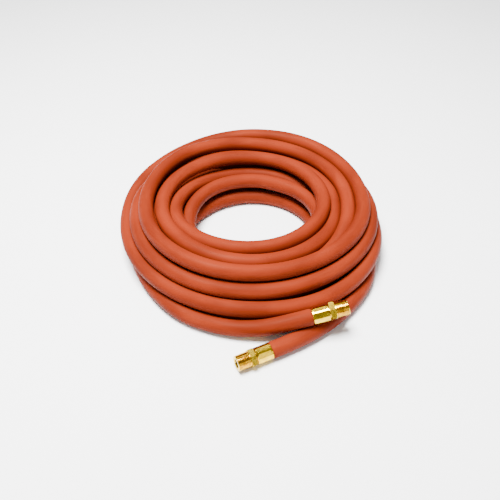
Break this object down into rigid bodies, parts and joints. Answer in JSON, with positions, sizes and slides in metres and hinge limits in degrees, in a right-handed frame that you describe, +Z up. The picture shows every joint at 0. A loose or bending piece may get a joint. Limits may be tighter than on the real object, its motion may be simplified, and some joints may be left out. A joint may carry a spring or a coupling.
{
  "type": "coiled rubber air hose",
  "caption": "Reddish rubber air hose lying in a loose stacked coil, with a crimped brass male pipe fitting on each end.",
  "frame": {"origin": "on the floor, at the middle of the coil's eye", "axes": "+Z up from the floor along the coil's axis; -Y is the side where both ends of the hose come out; +X is to the right when looking along +Y"},
  "size_m": [0.5065, 0.5953, 0.1015],
  "materials": {
    "hose_rubber": "matt moulded rubber with a soft sheen and a faint wrap texture",
    "hose_yarn": "spiralled textile reinforcement, hidden inside the hose wall",
    "hose_liner": "smooth black inner tube",
    "brass": "machined and lightly polished brass"
  },
  "bodies": {
    "air_hose": {"hose_coil": "hose_rubber", "front_ferrule": "brass", "front_stem": "brass", "front_hose_cover": "hose_rubber", "front_hose_yarn": "hose_yarn", "front_hose_liner": "hose_liner", "side_ferrule": "brass", "side_stem": "brass", "side_hose_cover": "hose_rubber", "side_hose_yarn": "hose_yarn", "side_hose_liner": "hose_liner"}
  },
  "joints": []
}
